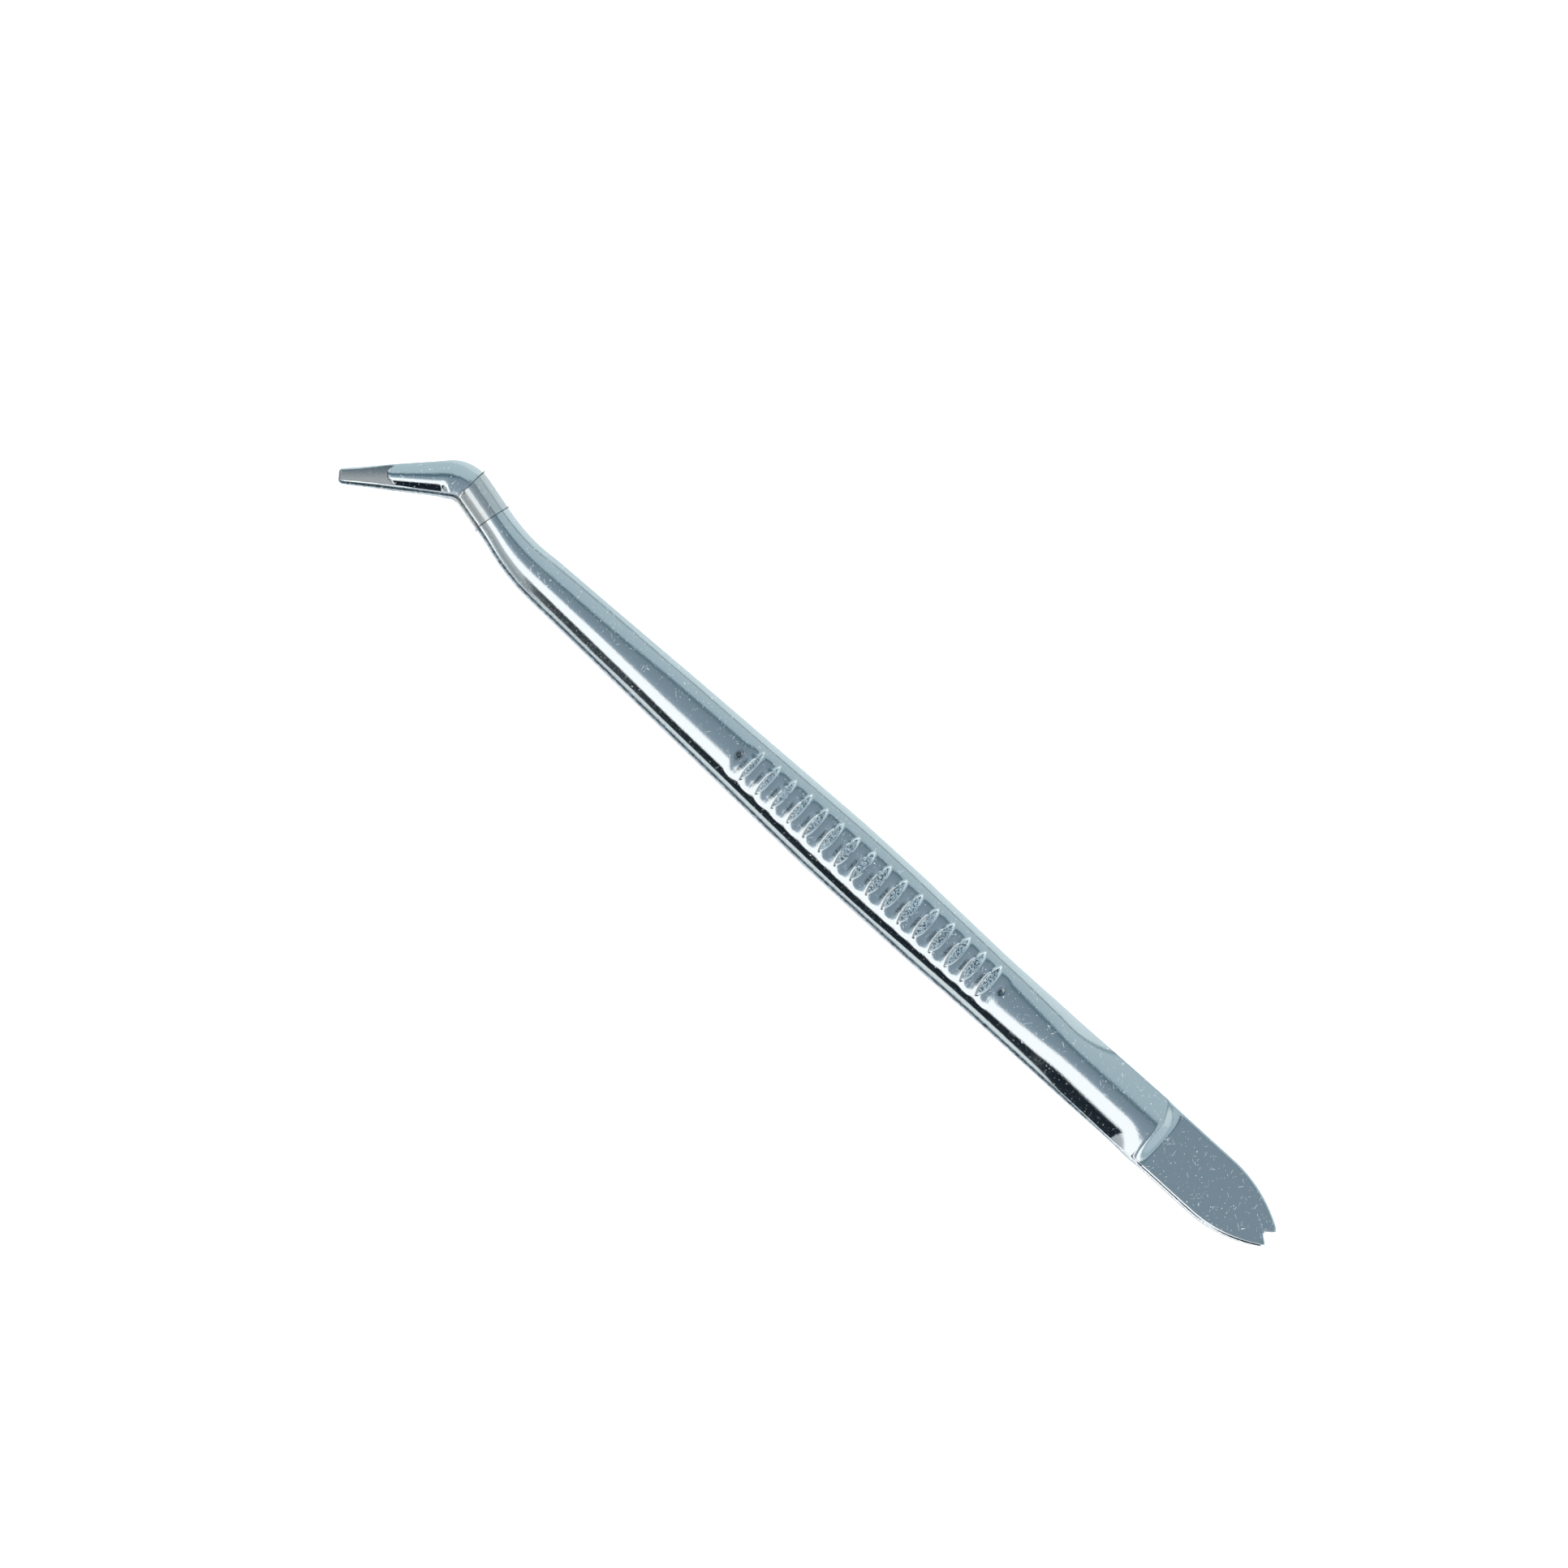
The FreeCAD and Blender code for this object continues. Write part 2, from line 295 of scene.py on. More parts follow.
def sideways(distance, shift):
    """How far a blade that is shifted sideways lies from the centre line."""
    return shift * ease((distance - shift_from) / (shift_to - shift_from))


# ---------------------------------------------------------------- section heights

def smooth_through(places, values, at):
    """A curve through the values with no overshoot and no kinks."""
    places, values = np.asarray(places, float), np.asarray(values, float)
    run, rise = np.diff(places), np.diff(values)
    slope = rise / run
    tangent = np.zeros(len(places))
    same_way = slope[:-1] * slope[1:] > 0
    before = np.where(same_way, slope[:-1], 1)
    after = np.where(same_way, slope[1:], 1)
    mean = (run[:-1] + run[1:]) / (run[:-1] / before + run[1:] / after)
    tangent[1:-1] = np.where(same_way, mean, 0.0)
    tangent[0], tangent[-1] = slope[0], slope[-1]
    at = np.clip(at, places[0], places[-1])
    index = np.clip(np.searchsorted(places, at, side="right") - 1, 0, len(run) - 1)
    t = (at - places[index]) / run[index]
    return (
        values[index] * (1 + 2 * t) * (1 - t) ** 2
        + tangent[index] * run[index] * t * (1 - t) ** 2
        + values[index + 1] * t * t * (3 - 2 * t)
        - tangent[index + 1] * run[index] * t * t * (1 - t)
    )


all_sections = sections + tuple((elbow_end + row[0],) + row[1:] for row in tip_sections)
section_places = [row[0] for row in all_sections]


def section(column, distance):
    """One column of the section table, at these distances."""
    values = [row[section_columns.index(column)] for row in all_sections]
    return smooth_through(section_places, values, distance)


def crown_height(distance, across, inset=0.0):
    """Height of the smooth outside, or of the surface this far inside it."""
    half_width = section("half_width", distance) - inset
    share = np.clip(across / half_width, -1, 1)
    offset = crown_offset * ease((distance - offset_from) / (offset_to - offset_from))
    share = share - offset / half_width * (1 - share ** 2)
    out = np.abs(share) * section("ellipse_share", distance)
    fall = 1 - np.sqrt(np.clip(1 - out ** section("power", distance), 0, 1))
    fall = section("ellipse_height", distance) * fall

    pressed = ease((distance - (elbow_start + press_before)) / press_ease)
    pressed = pressed * ease((elbow_end + press_after - distance) / press_ease) * (share > 0)
    fall = fall * (1 - press_flattening * pressed)

    even = ease((far_to - distance) / (far_to - far_from)) * (across < 0)
    even_fall = far_slope * (np.hypot(across, far_round) - far_round)
    fall = fall + (even_fall - fall) * even
    return section("crown", distance) - inset - fall


def grip(distance, across):
    """What the ribbed grip adds to the crown, its ground tops and its dark streaks."""
    index = np.clip(np.round((distance - rib_first_x) / rib_pitch), 0, rib_count - 1)
    away = distance - (rib_first_x + rib_pitch * index)
    size = 1 - rib_fade * (index / (rib_count - 1)) ** 2
    along = np.clip(np.abs(across) / rib_half_length, 0, 1)
    inside = rib_half_width * size * (1 - along ** rib_end_power) - np.abs(away)
    rise = rib_height * size * ease(inside / rib_bevel)
    ground = size * ease((inside - rib_rim) / rib_rim_ease)
    valley = np.sin(math.pi * np.clip(np.abs(away) / rib_pitch, 0, 1)) ** 2
    valley = valley * ease((valley_end - across) / valley_end_ease)
    valley = valley * ease((across - valley_start) / valley_start_ease)
    streak = np.exp(-((away - streak_from_rib) / streak_half_width) ** 2)
    streak = streak * ease((streak_half_length - np.abs(across - streak_middle)) / streak_ease)
    return rise - valley_dip * valley, ground, streak


def pips(distance, across):
    """Depth of the two round dents beyond the ribs, and the dark patch round them."""
    last_x = rib_first_x + rib_pitch * (rib_count - 1)
    depth = np.zeros(np.shape(distance))
    dark_patch = np.zeros(np.shape(distance))
    patch_x, patch_y = dark_patch_half_size
    for x in (rib_first_x - pip_beyond, last_x + pip_beyond):
        depth += pip_depth * (1 - ease(np.hypot(distance - x, across) / pip_radius))
        outwards = np.hypot((distance - x) / patch_x, (across - dark_patch_offset) / patch_y)
        dark_patch += 1 - ease((outwards - dark_patch_core) / dark_patch_ease)
    return depth, dark_patch


def rim_fall(inside, radius):
    """How far a rounded edge drops, this far inside the outline."""
    share = np.clip((radius - inside) / radius, 0, 1)
    return radius * (1 - np.sqrt(1 - share ** 2))


# ---------------------------------------------------------------- the grid of an arm

def evenly(start, end, spacing):
    """Distances from start up to, but not at, the end."""
    count = max(1, round((end - start) / spacing))
    return list(np.linspace(start, end, count, endpoint=False))


rib_zone_start = rib_first_x - 1.5 * rib_pitch
rib_zone_end = rib_first_x + (rib_count + 0.5) * rib_pitch
rib_rows = 26                    # rows of points from one rib to the next
tooth_rows = 4                   # and from one tooth to the next
tail_rim_rows = [0.0, 0.02, 0.05, 0.1, 0.16]
tail_spacing = 0.25
tail_rows_end = 3.5
step_rows_start = 17.2
step_rows_end = 21.0
elbow_rows_start = elbow_start - 6.0
tooth_rows_start = line_end - tooth_pitch * (tooth_count + 1)
tooth_rows_end = line_end - 1.25 * tooth_pitch
tip_round_shares = (1.0, 0.7, 0.45, 0.25, 0.1, 0.03, 0.0)
leaf_spacing = 0.45
body_spacing = 0.4
elbow_spacing = 0.2
step_spacing = 0.1
row_distances = np.array(
    tail_rim_rows
    + evenly(tail_spacing, tail_rows_end, tail_spacing)
    + evenly(tail_rows_end, step_rows_start, leaf_spacing)
    + evenly(step_rows_start, step_rows_end, step_spacing)
    + evenly(step_rows_end, rib_zone_start, body_spacing)
    + evenly(rib_zone_start, rib_zone_end, rib_pitch / rib_rows)
    + evenly(rib_zone_end, elbow_rows_start, leaf_spacing)
    + evenly(elbow_rows_start, tooth_rows_start, elbow_spacing)
    + evenly(tooth_rows_start, tooth_rows_end, tooth_pitch / tooth_rows)
    + [line_end - tip_round * share for share in tip_round_shares]
)
columns = 48                     # spans from edge to edge, narrower towards the edges
column_shares = -np.cos(np.pi * np.arange(columns + 1) / columns)
wall_points = 2                  # on each upright edge, between its two corners


def flank_half_width(distance):
    """Half width of the whole arm's outline."""
    run = leaf_shoulder_x - prong_round_x
    drop = leaf_half_width - leaf_end_half_width
    radius = (run * run + drop * drop) / (2 * drop)
    back = np.clip(leaf_shoulder_x - distance, 0, run)
    leaf = leaf_half_width - radius + np.sqrt(radius * radius - back * back)
    end = np.clip(distance - (line_end - tip_round), 0, tip_round)
    corner = tip_round - np.sqrt(tip_round ** 2 - end ** 2)
    return np.minimum(leaf, section("half_width", distance)) - corner


def notch_outline(across):
    """How far forward the tail's end lies: a fishtail notch between two rounded prongs."""
    away = np.abs(across)
    notch = notch_depth * (1 - ease(away / prong_half_width))
    corner = prong_round_x * ease((away - prong_half_width) / (leaf_end_half_width - prong_half_width))
    return notch + corner


def arm_surfaces(shift):
    """Grids over an arm, by row and column: its places, both heights and what covers it."""
    distance = np.repeat(row_distances[:, None], columns + 1, axis=1)
    edge_distance = distance + prong_round_x * np.clip(1 - distance / tail_reach, 0, 1)
    half_width = flank_half_width(edge_distance)
    across = half_width * column_shares[None, :]
    into = distance
    distance = distance + notch_outline(across) * np.clip(1 - distance / tail_reach, 0, 1)

    # outside
    inside_edge = np.minimum(half_width - np.abs(across), into)
    leaf_top = sheet - leaf_rim_fall * np.clip(1 - inside_edge / leaf_rim, 0, 1) ** 2
    body = crown_height(distance, across)
    run = step_run + step_corner * np.clip(-across - step_straight, 0, None) ** 2
    top = leaf_top + (body - leaf_top) * ease((distance - step_foot_x) / run)
    rib_rise, rib_top, dark = grip(distance, across)
    pip, dark_patch = pips(distance, across)
    top = top + rib_rise - pip
    back = line_end - distance - facet_curve * across ** 2
    slope = (facet_start_height - facet_end_height) / facet_length
    plane = facet_end_height + slope * np.minimum(back, facet_length)
    plane = plane + facet_clear * np.clip((back - facet_length) / facet_ramp, 0, 1)
    on_facet = plane < top
    top = np.minimum(top, plane)
    end_round = rim_fall(line_end - distance, tip_round / 2)
    top = np.maximum(top - end_round, seam_gap)

    # inside
    floor_height = seam_gap / 2 * ease((distance - step_foot_x) / seam_open_run)
    inner = crown_height(distance, across, inset=sheet)
    wall = ease((half_width - sheet - np.abs(across)) / hollow_wall_ease)
    ends = ease((distance - hollow_start) / hollow_ease) * ease((hollow_end - distance) / hollow_ease)
    bottom = floor_height + np.maximum(inner - floor_height, 0) * wall * ends
    teeth_back = line_end - distance
    from_groove = np.abs((teeth_back / tooth_pitch) % 1 - 0.5) * tooth_pitch
    groove = np.clip(1 - from_groove / tooth_half_width, 0, 1)
    toothed = (teeth_back > tooth_pitch) & (teeth_back < (tooth_count + 1) * tooth_pitch)
    bottom = bottom + np.where(toothed, tooth_depth * groove, 0)

    dark = np.maximum(dark, dark_patch)
    offset = across + sideways(distance, shift)
    return distance, across, offset, top, bottom, rib_top, dark, on_facet * 1.0


def arm_mesh(name, shift, side):
    """One arm as a closed mesh. side is 1 for the upper arm and -1 for the lower one."""
    distance, across, offset, top, bottom, ground, dark, facet = arm_surfaces(shift)
    rows = distance.shape[0]
    down = np.linspace(0, 1, wall_points + 2)[1:-1]
    nothing = np.zeros_like(ground)
    walls = np.ones((rows, wall_points))

    def ring(outside, inside, first_wall, second_wall):
        """Round each section: outside, one wall, inside and back, other wall."""
        return np.concatenate([outside, first_wall, inside[:, ::-1], second_wall], axis=1)

    def everywhere(grid):
        return ring(grid, grid, walls * grid[:, -1:], walls * grid[:, :1])

    def outside_only(grid):
        return ring(grid, nothing, walls * 0, walls * 0)

    def wall_heights(column):
        fall = bottom[:, column] - top[:, column]
        return top[:, column, None] + fall[:, None] * down

    lower = side < 0
    edge = nothing.copy()
    edge[:, 0] = edge[:, -1] = 1.0
    from_edge = np.abs(across[:, :1]) - np.abs(across)
    rough = 1 - ease((from_edge - rough_border) / rough_border_ease)
    # Painted shade: the lower arm's inside is darkened under and just past the upper arm's edge, in
    # the seam, and its upright edges are darkened near the floor
    seam_painted_shade = lower * (across > 0) * ease((from_edge - shift + seam_painted_shade_reach) / seam_painted_shade_ease)
    wall_painted_shade = walls * lower * lower_wall_painted_shade

    ring_distance = everywhere(distance)
    ring_offset = everywhere(offset)
    ring_across = everywhere(across)
    ring_height = ring(top, bottom, wall_heights(-1), wall_heights(0)[:, ::-1])
    count = ring_distance.shape[1]

    points = swept(ring_distance, ring_offset, ring_height * side)
    index = np.arange(rows * count).reshape(rows, count)
    here, there = index, np.roll(index, -1, axis=1)
    quads = np.stack([here[:-1], there[:-1], there[1:], here[1:]], axis=-1).reshape(-1, 4)
    faces = quads.tolist()
    size = columns + 1
    for end in (index[0], index[-1]):
        outer = end[:size]
        inner = end[size + wall_points:2 * size + wall_points][::-1]
        faces += np.stack([outer[:-1], inner[:-1], inner[1:], outer[1:]], axis=-1).tolist()
        faces.append(end[size - 1:size + wall_points + 1].tolist())
        faces.append(end[-wall_points - 1:].tolist() + end[:1].tolist())

    mesh = bpy.data.meshes.new(name)
    mesh.from_pydata(to_row(points.reshape(-1, 3)).tolist(), [], faces)
    add_attribute(mesh, "ground", outside_only(ground))
    add_attribute(mesh, "sheared", ring(edge, rough, walls, walls))
    # The dark attribute carries the dark streaks and patches of the outside, and the painted shade in
    # the lower arm's seam and on its upright edges
    add_attribute(mesh, "dark", ring(dark, seam_painted_shade, wall_painted_shade, wall_painted_shade))
    add_attribute(mesh, "facet", outside_only(facet))
    place = np.stack([ring_distance, ring_across, ring_height], axis=-1)
    add_attribute(mesh, "tool_place", place, "FLOAT_VECTOR")
    return finished(name, mesh)


def add_attribute(mesh, name, values, kind="FLOAT"):
    """Values on the mesh's points, for its material."""
    attribute = mesh.attributes.new(name, kind, "POINT")
    key = "value" if kind == "FLOAT" else "vector"
    attribute.data.foreach_set(key, np.asarray(values, np.float32).ravel())


sharp_angle = math.radians(38)   # edges that bend more than this are shaded sharp


def finished(name, mesh):
    """Object for a closed mesh, with its faces turned outwards, smooth but for its sharp edges."""
    mesh.validate()
    turned = bmesh.new()
    turned.from_mesh(mesh)
    bmesh.ops.recalc_face_normals(turned, faces=turned.faces)
    turned.to_mesh(mesh)
    turned.free()
    for polygon in mesh.polygons:
        polygon.use_smooth = True
    mesh.set_sharp_from_angle(angle=sharp_angle)
    piece = bpy.data.objects.new(name, mesh)
    bpy.context.scene.collection.objects.link(piece)
    return piece


# ---------------------------------------------------------------- the clear band

band_rows = 26
band_columns = 40                # spans across each of its two sides


def band_piece(name):
    """A clear film sleeve round both arms at the neck, as a thin closed shell."""
    last = elbow_start + band_past_bend
    rows = np.linspace(last - band_width, last, band_rows)
    shares = -np.cos(np.pi * np.arange(band_columns + 1) / band_columns)

    def loop_grid(offset):
        """Points round both arms, this far outside them."""
        arm_half_width = section("half_width", rows)[:, None]
        half_width = arm_half_width + offset + lower_shift / 2
        distance = np.repeat(rows[:, None], band_columns + 1, axis=1)
        across = half_width * shares[None, :]
        height = crown_height(distance, across * (arm_half_width / half_width)) + offset
        grid_across = np.concatenate([across, across[:, ::-1]], axis=1) + lower_shift / 2
        grid_height = np.concatenate([height, -height[:, ::-1]], axis=1)
        distance = np.concatenate([distance, distance], axis=1)
        return swept(distance, grid_across, grid_height)

    inner = loop_grid(band_clearance)
    outer = loop_grid(band_clearance + band_film)
    count = inner.shape[1]
    index = np.arange(len(rows) * count).reshape(len(rows), count)
    beside = np.roll(index, -1, axis=1)
    skin = np.stack([index[:-1], beside[:-1], beside[1:], index[1:]], axis=-1).reshape(-1, 4)
    total = index.size
    faces = skin.tolist() + (skin + total).tolist()
    for row in (0, -1):
        rim = np.stack([index[row], beside[row], beside[row] + total, index[row] + total], axis=-1)
        faces += rim.tolist()
    points = np.concatenate([inner.reshape(-1, 3), outer.reshape(-1, 3)])
    mesh = bpy.data.meshes.new(name)
    mesh.from_pydata(to_row(points).tolist(), [], faces)
    along = np.concatenate([np.repeat(rows, count)] * 2)
    add_attribute(mesh, "band_place", (along - rows[0]) / band_width)
    return finished(name, mesh)


# ---------------------------------------------------------------- colours and nodes

def linear(red, green, blue):
    """Scene colour for a display colour given as 0 to 255."""
    def one(value):
        value /= 255
        return value / 12.92 if value <= 0.04045 else ((value + 0.055) / 1.055) ** 2.4
    return one(red), one(green), one(blue), 1.0


class Tree:
    """A node tree that is written as nested calls. Each call gives a node or its output."""

    def __init__(self, tree):
        self.tree = tree
        tree.nodes.clear()

    def add(self, kind, inputs=None, **settings):
        node = self.tree.nodes.new(kind)
        for key, value in settings.items():
            setattr(node, key, value)
        for key, value in (inputs or {}).items():
            if isinstance(value, bpy.types.NodeSocket):
                self.tree.links.new(value, node.inputs[key])
            else:
                node.inputs[key].default_value = value
        return node

    def math(self, operation, first, second=0.0, third=0.0, clamp=False):
        inputs = {0: first, 1: second, 2: third}
        return self.add("ShaderNodeMath", inputs, operation=operation, use_clamp=clamp).outputs[0]

    def attribute(self, name):
        return self.add("ShaderNodeAttribute", attribute_name=name)

    def noise(self, vector, scale, detail=2.0, roughness=0.5):
        inputs = {"Vector": vector, "Scale": scale, "Detail": detail, "Roughness": roughness}
        return self.add("ShaderNodeTexNoise", inputs).outputs[0]

    def stretched(self, vector, scale):
        return self.add("ShaderNodeMapping", {"Vector": vector, "Scale": scale}).outputs[0]

    def between(self, value, low, high, out_low=0.0, out_high=1.0):
        inputs = {0: value, 1: low, 2: high, 3: out_low, 4: out_high}
        return self.add("ShaderNodeMapRange", inputs, clamp=True).outputs[0]

    def mix(self, share, first, second):
        inputs = {"Factor": share, 6: first, 7: second}
        return self.add("ShaderNodeMix", inputs, data_type="RGBA").outputs[2]

    def bump(self, height, strength, distance):
        inputs = {"Height": height, "Strength": strength, "Distance": distance}
        return self.add("ShaderNodeBump", inputs).outputs[0]

    def surface(self, inputs):
        shader = self.add("ShaderNodeBsdfPrincipled", inputs)
        self.add("ShaderNodeOutputMaterial", {"Surface": shader.outputs[0]})


# Steel: relief as heights in millimetres, and noise scales per millimetre
cloud_scale = 0.35
cloud_height = 0.005
streak_scale = (0.25, 9.0, 9.0)  # long along the tool, fine across it
streak_height = 0.0006
grain_scale = 5.0
grain_height = 0.0045
worn_grain_height = 0.08         # more, on the ground tops and the sheared edges
facet_grain_height = 0.004       # more, on the tip's facet
nick_scale = 4.5
nick_limits = (0.735, 0.76)      # share of the noise that becomes a nick, as its soft limits
scratch_scale = (0.7, 11.0, 11.0)
scratch_limits = (0.755, 0.785)
scratch_turns = (math.radians(35), math.radians(-50), math.radians(80))
blotch_scale = 4.0
blotch_limits = (0.42, 0.56)
blotch_share = 0.5               # of the darkness of the dark streaks, patches and painted seam shade that comes in blotches
pit_scale = 5.5
pit_limits = (0.50, 0.58)
shade_strength = 0.85
facet_shade = 0.62
polished_rough = 0.05
worn_rough = 0.10                # more, on worn surfaces
facet_rough = 0.15
nick_rough = 0.4
nick_metallic = -0.8             # change from metal, where a nick is
polished_colour = (0.88, 0.895, 0.91, 1)
worn_colour = (0.72, 0.83, 0.90, 1)
nick_colour = (0.93, 0.95, 0.96, 1)
shade_colour = (0.03, 0.04, 0.045, 1)


def new_material(name):
    """A material and its empty node tree."""
    material = bpy.data.materials.new(name)
    material.use_nodes = True
    return material, Tree(material.node_tree)


def steel_material():
    """Polished pressed steel: fine scratches, nicks, dark marks, rough ground tops and sheared edges,
    and painted shade along the lower arm's seam and upright edges.
    """
    material, t = new_material("polished_steel")
    place = t.attribute("tool_place").outputs["Vector"]
    ground = t.attribute("ground").outputs["Fac"]
    sheared = t.attribute("sheared").outputs["Fac"]
    dark = t.attribute("dark").outputs["Fac"]
    facet = t.attribute("facet").outputs["Fac"]
    worn = t.math("MAXIMUM", ground, sheared)

    # Relief
    cloud = t.noise(place, cloud_scale)
    streaks = t.noise(t.stretched(place, streak_scale), 1.0, detail=3.0)
    grain = t.noise(place, grain_scale, roughness=0.6)
    grain_size = t.math("MULTIPLY_ADD", worn, worn_grain_height, grain_height)
    grain_size = t.math("MULTIPLY_ADD", facet, facet_grain_height, grain_size)
    height = t.math("MULTIPLY", grain, grain_size)
    height = t.math("MULTIPLY_ADD", streaks, streak_height, height)
    height = t.math("MULTIPLY_ADD", cloud, cloud_height, height)
    bump = t.bump(height, 1.0, mm)

    # Nicks and short scratches, which are pale and not mirror bright
    nicks = t.between(t.noise(place, nick_scale, detail=1.0), *nick_limits)
    for turn in scratch_turns:
        along = t.add("ShaderNodeMapping", {"Vector": place, "Rotation": (0, 0, turn)}).outputs[0]
        line = t.noise(t.stretched(along, scratch_scale), 1.0, detail=1.0)
        nicks = t.math("MAXIMUM", nicks, t.between(line, *scratch_limits))

    # Dark streaks and patches, painted shade in the lower arm's seam and on its upright edges, and the
    # pits of worn surfaces, which are all dark
    blotch = t.between(t.noise(place, blotch_scale), *blotch_limits)
    blotched = t.math("MULTIPLY_ADD", blotch, blotch_share, 1 - blotch_share)
    shade = t.math("MULTIPLY", dark, blotched)
    pits = t.between(t.noise(place, pit_scale), *pit_limits)
    shade = t.math("MAXIMUM", shade, t.math("MULTIPLY", worn, pits))
    shade = t.math("MULTIPLY", shade, shade_strength)
    shade = t.math("MAXIMUM", shade, t.math("MULTIPLY", facet, facet_shade), clamp=True)

    rough = t.math("MULTIPLY_ADD", streaks, polished_rough, polished_rough)
    rough = t.math("MULTIPLY_ADD", worn, worn_rough, rough)
    rough = t.math("MULTIPLY_ADD", facet, facet_rough, rough)
    rough = t.math("MULTIPLY_ADD", nicks, nick_rough, rough, clamp=True)

    colour = t.mix(worn, polished_colour, worn_colour)
    colour = t.mix(nicks, colour, nick_colour)
    colour = t.mix(shade, colour, shade_colour)
    t.surface({
        "Base Color": colour,
        "Metallic": t.math("MULTIPLY_ADD", nicks, nick_metallic, 1.0),
        "Roughness": rough,
        "Normal": bump,
    })
    return material


weld_grain_scale = 9000.0        # per metre
weld_relief = 0.05 * mm
weld_bump = 0.5
weld_rough = 0.3                 # least, and as much more where the grain is high
weld_dark = (0.42, 0.40, 0.38, 1)
weld_pale = (0.60, 0.59, 0.58, 1)


def weld_material():
    """Fused metal between the leaves: duller, with a coarse grain."""
    material, t = new_material("weld_metal")
    place = t.add("ShaderNodeTexCoord").outputs["Object"]
    grain = t.noise(place, weld_grain_scale, detail=4.0, roughness=0.6)
    t.surface({
        "Base Color": t.mix(grain, weld_dark, weld_pale),
        "Metallic": 1.0,
        "Roughness": t.math("MULTIPLY_ADD", grain, weld_rough, weld_rough),
        "Normal": t.bump(grain, weld_bump, weld_relief),
    })
    return material


film_rim = (0.012, 0.022)        # shares of the band's width between which the painted shade at its rims fades
film_ripple_scale = 1500.0       # per metre
film_relief = 0.1 * mm
film_bump = 0.3
film_rough = 0.08
film_ripple_rough = 0.1          # more, where the ripple is high
film_colour = (0.52, 0.47, 0.42, 1)
# Painted shade: a dark line along each cut end of the clear film
film_rim_painted_shade_colour = (0.06, 0.07, 0.08, 1)
film_cover = 0.07
film_rim_painted_shade_cover = 0.45            # more, at the rim, under its painted shade


def film_material():
    """Clear shrink film with a faint warm cast, and painted shade along its cut rims."""
    material, t = new_material("clear_film")
    along = t.attribute("band_place").outputs["Fac"]
    # Painted shade: a dark line along each of the film's two cut ends
    from_end = t.math("MINIMUM", along, t.math("SUBTRACT", 1.0, along))
    rim = t.between(from_end, *film_rim, 1.0, 0.0)
    place = t.add("ShaderNodeTexCoord").outputs["Object"]
    ripple = t.noise(place, film_ripple_scale)
    t.surface({
        "Base Color": t.mix(rim, film_colour, film_rim_painted_shade_colour),
        "Roughness": t.math("MULTIPLY_ADD", ripple, film_ripple_rough, film_rough),
        "IOR": 1.5,
        "Alpha": t.math("MULTIPLY_ADD", rim, film_rim_painted_shade_cover, film_cover),
        "Normal": t.bump(ripple, film_bump, film_relief),
    })
    return material


# ---------------------------------------------------------------- the pieces

steel = steel_material()

upper_arm = arm_mesh("upper_arm_steel", 0.0, 1)
lower_arm = arm_mesh("lower_arm_steel", lower_shift, -1)
for piece in (upper_arm, lower_arm):
    piece.data.materials.append(steel)

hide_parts("upper_tail_leaf", "upper_arm")
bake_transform(upper_arm)

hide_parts("lower_arm")
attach(lower_arm, "fixed_arm")

band = band_piece("neck_band_film")
band.data.materials.append(film_material())
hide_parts("neck_band")
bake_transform(band)

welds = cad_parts["weld_nuggets"]
welds.data.materials.clear()
welds.data.materials.append(weld_material())


# ---------------------------------------------------------------- floor, light and camera

floor_half_size = 8.0
floor_colour = (0.92, 0.90, 0.90, 1)
floor_glow_colour = (1.0, 0.99, 0.99, 1)
floor_glow = 0.6


def studio_floor():
    """A plain pale floor that the tool lies on."""
    mesh = bpy.data.meshes.new("studio_floor")
    size = floor_half_size
    low = cad_box[0].z
    corners = [(-size, -size, low), (size, -size, low), (size, size, low), (-size, size, low)]
    mesh.from_pydata(corners, [], [(0, 1, 2, 3)])
    floor = bpy.data.objects.new("studio_floor", mesh)
    bpy.context.scene.collection.objects.link(floor)
    material, t = new_material("studio_floor")
    t.surface({
        "Base Color": floor_colour,
        "Roughness": 0.9,
        "Emission Color": floor_glow_colour,
        "Emission Strength": floor_glow,
    })
    mesh.materials.append(material)


# The studio's panels as the steel sees them: a place in degrees from straight up towards +Y, and
# the display colour there. The room has several stretches along the tool, each with a table of its
# own, and most of them share this one on the side of -Y.
teal_side = (
    (-90, (205, 222, 226)),
    (-60, (192, 210, 214)),
    (-50.5, (188, 206, 211)),
    (-49, (120, 142, 150)),
    (-47, (120, 142, 150)),
    (-45.5, (163, 182, 189)),
    (-25, (154, 176, 185)),
    (-23.5, (84, 108, 118)),
    (-20, (92, 116, 126)),
    (-18, (113, 132, 143)),
    (-8, (122, 140, 152)),
    (-1, (136, 154, 166)),
    (1.5, (248, 254, 255)),
    (22, (248, 254, 255)),
)
# Beside the body there is a dark card towards +Y, low down, with a pale wall under it
card_side = (
    (25.5, (18, 27, 36)),
    (52, (30, 40, 46)),
    (56, (205, 217, 218)),
    (90, (212, 222, 223)),
)
# Past the card's end towards +X, which the neck sees, the wall is grey
wall_side = (
    (-90, (205, 222, 226)),
    (-50, (188, 206, 211)),
    (-46, (170, 190, 196)),
    (-16, (162, 184, 192)),
    (-14, (78, 102, 112)),
    (-9, (84, 108, 118)),
    (-6, (134, 156, 168)),
    (3, (150, 171, 183)),
    (5.5, (248, 254, 255)),
    (24, (248, 254, 255)),
    (30, (172, 180, 184)),
    (60, (134, 146, 150)),
    (90, (192, 200, 202)),
)
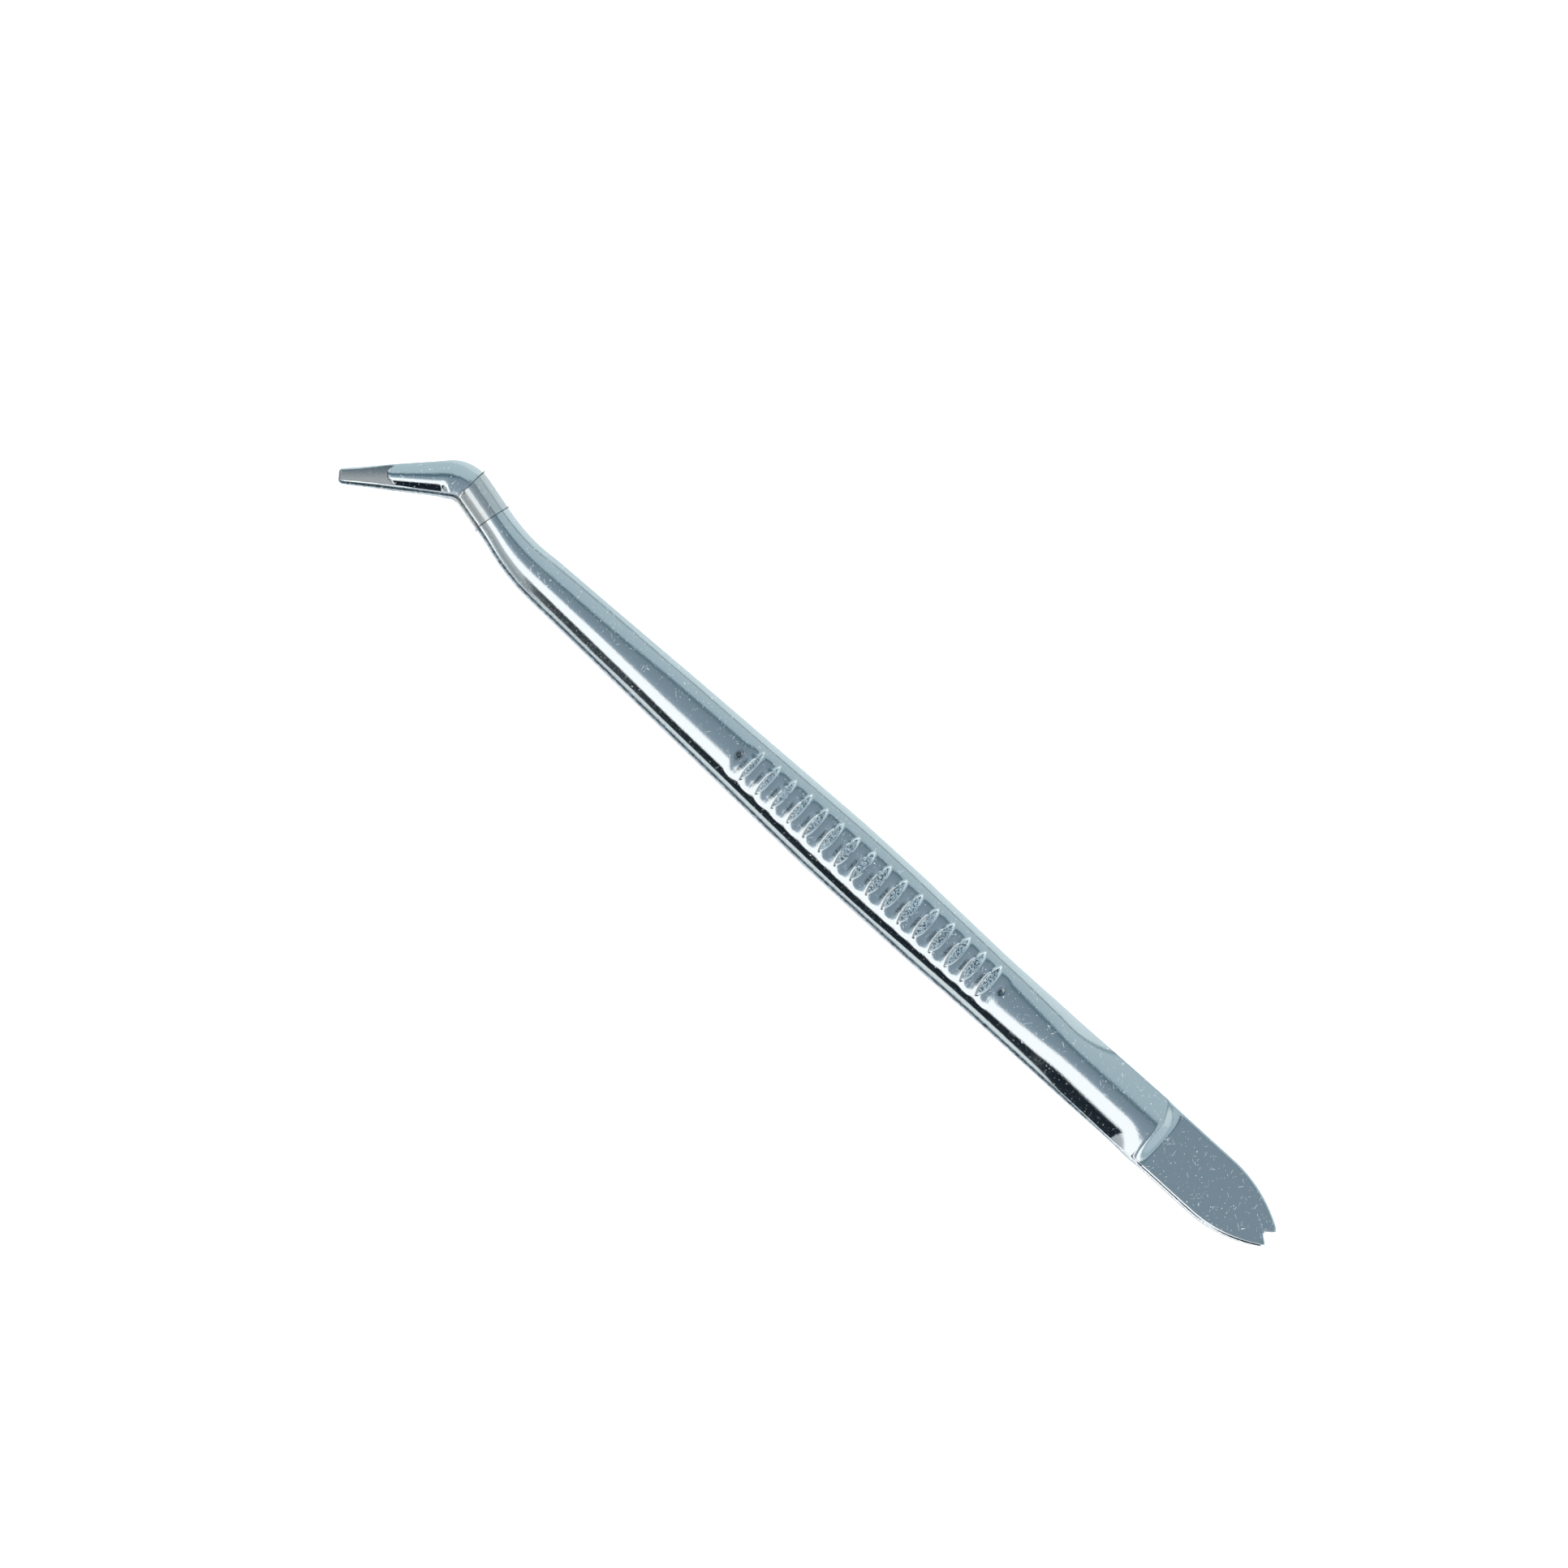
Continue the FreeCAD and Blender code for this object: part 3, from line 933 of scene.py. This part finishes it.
# Towards -X there is first a gap, which the step's end sees, and then the card that the tip sees
gap_side = (
    (60, (248, 254, 255)),
    (90, (225, 235, 238)),
)
tip_card_side = (
    (5, (248, 254, 255)),
    (8, (18, 27, 36)),
    (86, (20, 28, 36)),
    (89, (225, 235, 238)),
)
# Lower still towards -X, only the pressed step and its ends see the room
slope_side = (
    (-90, (205, 222, 226)),
    (-58, (188, 206, 212)),
    (-46, (150, 172, 182)),
    (-28, (150, 172, 182)),
    (-25, (248, 254, 255)),
)
step_side = (
    (-90, (168, 188, 198)),
    (90, (168, 188, 198)),
)
# The +X end of each stretch, as the limits in X of a unit direction between which it fades
card_end = (0.080, 0.096)
gap_end = (-0.19, -0.15)
tip_card_end = (-0.28, -0.23)
slope_end = (-0.70, -0.64)
step_end = (-0.88, -0.84)
room_strength = 1.1
room_turn = math.radians(20)     # the panels run this much across the tool
lowest_lean = math.radians(89.9)
backdrop = (240, 241, 242)       # what shows past the floor's edges


def band_ramp(t, share, bands):
    """A colour ramp over half a turn, from bands given in degrees straight across the tool."""
    ramp = t.add("ShaderNodeValToRGB", {0: share})
    stops = ramp.color_ramp.elements
    while len(stops) > 1:
        stops.remove(stops[-1])
    for index, (degrees, colour) in enumerate(bands):
        across = max(min(math.radians(degrees), lowest_lean), -lowest_lean)
        turned = math.atan(math.tan(across) * math.cos(room_turn))
        stop = stops.new(turned / math.pi + 0.5) if index else stops[0]
        stop.position = turned / math.pi + 0.5
        stop.color = linear(*colour)
    return ramp.outputs[0]


def studio_room():
    """A surround with long soft panels and dark cards, nearly along the tool."""
    world = bpy.data.worlds.new("studio_room")
    bpy.context.scene.world = world
    world.use_nodes = True
    t = Tree(world.node_tree)
    direction = t.add("ShaderNodeTexCoord").outputs["Generated"]
    parts = t.add("ShaderNodeSeparateXYZ", {0: direction})
    x, y, z = parts.outputs
    turned_y = t.math("MULTIPLY", y, math.cos(room_turn))
    turned_y = t.math("MULTIPLY_ADD", x, math.sin(room_turn), turned_y)
    lean = t.math("ARCTAN2", turned_y, z)
    share = t.between(lean, -math.pi / 2, math.pi / 2)
    body = band_ramp(t, share, teal_side + card_side)
    neck = band_ramp(t, share, wall_side)
    gap = band_ramp(t, share, teal_side + gap_side)
    tip = band_ramp(t, share, teal_side[:-1] + tip_card_side)   # its card starts higher up
    slope = band_ramp(t, share, slope_side)
    shown = band_ramp(t, share, step_side)
    ends = (step_end, slope_end, tip_card_end, gap_end, card_end)
    for end, colour in zip(ends, (slope, tip, gap, body, neck)):
        shown = t.mix(t.between(x, *end), shown, colour)
    panels = t.add("ShaderNodeBackground", {"Color": shown, "Strength": room_strength})
    plain = t.add("ShaderNodeBackground", {"Color": linear(*backdrop), "Strength": 1.0})
    seen = t.add("ShaderNodeLightPath").outputs["Is Camera Ray"]
    mixed = t.add("ShaderNodeMixShader", {0: seen, 1: panels.outputs[0], 2: plain.outputs[0]})
    t.add("ShaderNodeOutputWorld", {"Surface": mixed.outputs[0]})


overhead_size = 1.6
overhead_watts = 14.0
overhead_place = (0.1, -0.25, 1.2)


def studio_lights():
    """One large soft light overhead, which lights the floor and is no reflection in the steel."""
    light = bpy.data.lights.new("overhead", "AREA")
    light.shape = "SQUARE"
    light.size = overhead_size
    light.energy = overhead_watts
    lamp = bpy.data.objects.new("overhead", light)
    lamp.location = overhead_place
    lamp.rotation_euler = (Vector((0, 0, 0)) - lamp.location).to_track_quat("-Z", "Y").to_euler()
    lamp.visible_glossy = False
    bpy.context.scene.collection.objects.link(lamp)


# The camera looks down, leaning a little towards +Y, with the tip at the upper left
camera_target = (82.9, -1.3, 0.0)      # drawing frame, on the seam plane
camera_lean = math.radians(10.5)
camera_turn = math.radians(137.7)      # direction of +X in the picture
camera_distance = 0.815
camera_lens = 150.0


def studio_camera():
    """The camera, which looks at its target from the side that it leans to."""
    data = bpy.data.cameras.new("camera")
    data.lens = camera_lens
    data.sensor_width = 36.0
    data.clip_start = 0.01
    camera = bpy.data.objects.new("camera", data)
    back = Vector((0, math.sin(camera_lean), math.cos(camera_lean)))
    tilt = Matrix.Rotation(-camera_lean, 3, "X")
    right = tilt @ Vector((math.cos(camera_turn), -math.sin(camera_turn), 0))
    up = back.cross(right)
    place = Matrix((right, up, back)).transposed().to_4x4()
    place.translation = Vector(to_row(camera_target)) + back * camera_distance
    camera.matrix_world = place
    bpy.context.scene.collection.objects.link(camera)
    bpy.context.scene.camera = camera


studio_floor()
studio_room()
studio_lights()
studio_camera()
bpy.context.scene.view_settings.view_transform = "Standard"
